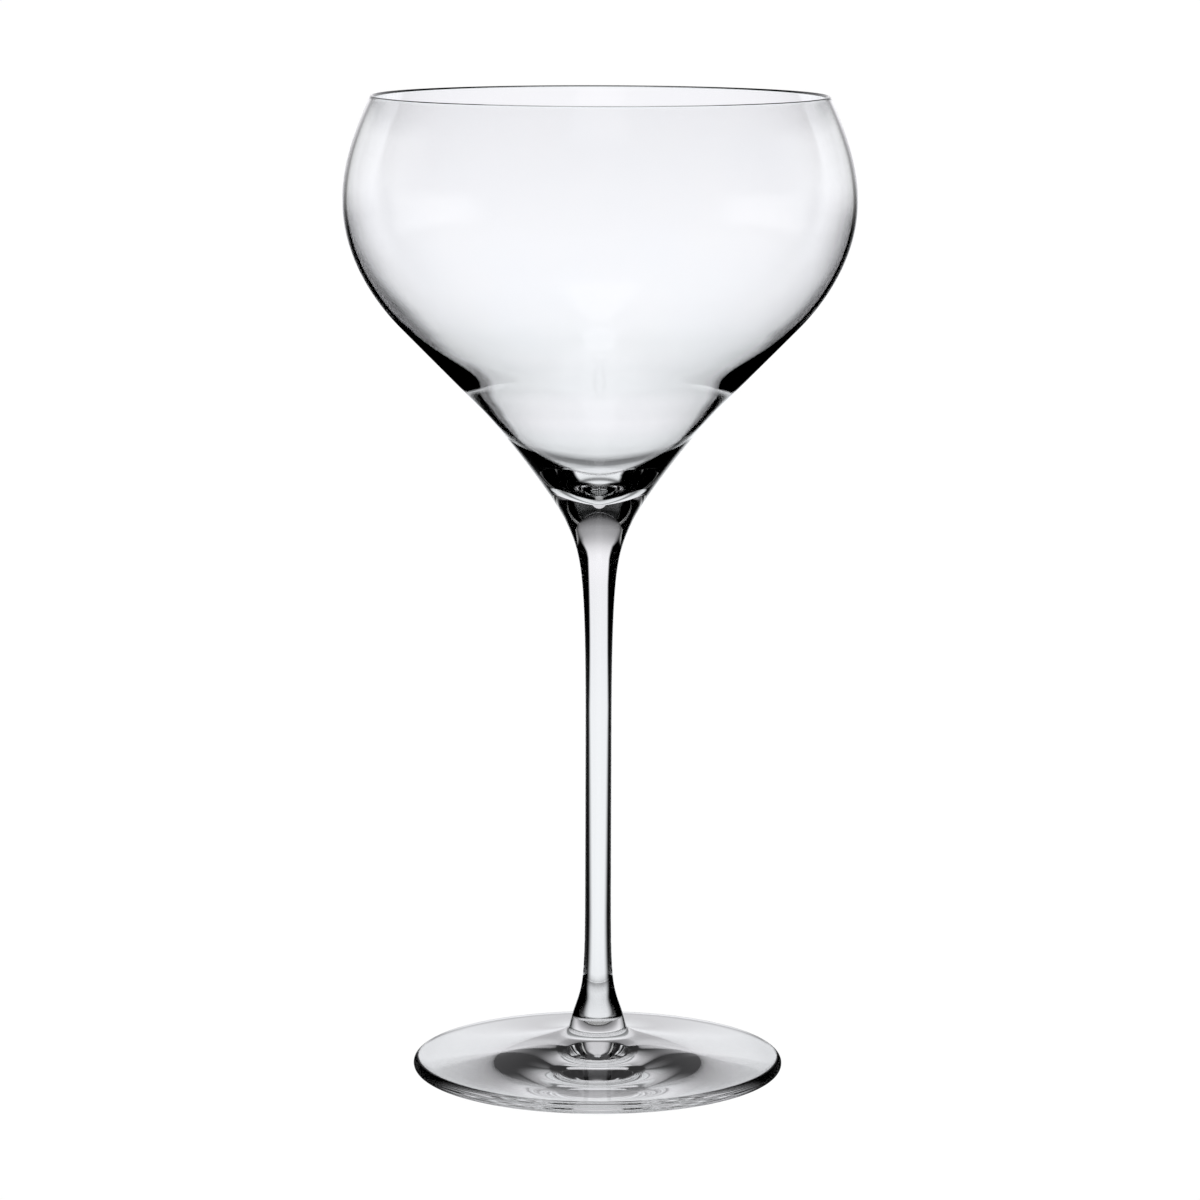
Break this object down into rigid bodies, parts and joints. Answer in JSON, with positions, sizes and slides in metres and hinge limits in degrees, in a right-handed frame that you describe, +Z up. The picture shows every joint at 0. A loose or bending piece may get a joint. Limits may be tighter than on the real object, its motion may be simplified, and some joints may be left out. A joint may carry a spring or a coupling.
{
  "type": "nick and nora glass",
  "caption": "Stemmed cocktail glass of clear glass: a thin rounded bowl, drawn in at the rim, runs down as a cone into a slim solid stem on a wide round foot.",
  "frame": {"origin": "centre of the foot, on the surface that the glass stands on", "axes": "+Z up along the axis of the glass; the glass is round, so X and Y are free"},
  "size_m": [0.1035, 0.1034, 0.2],
  "materials": {
    "clear_glass": "polished"
  },
  "bodies": {
    "root": {"bowl": "clear_glass", "stem": "clear_glass", "foot": "clear_glass"}
  },
  "joints": []
}
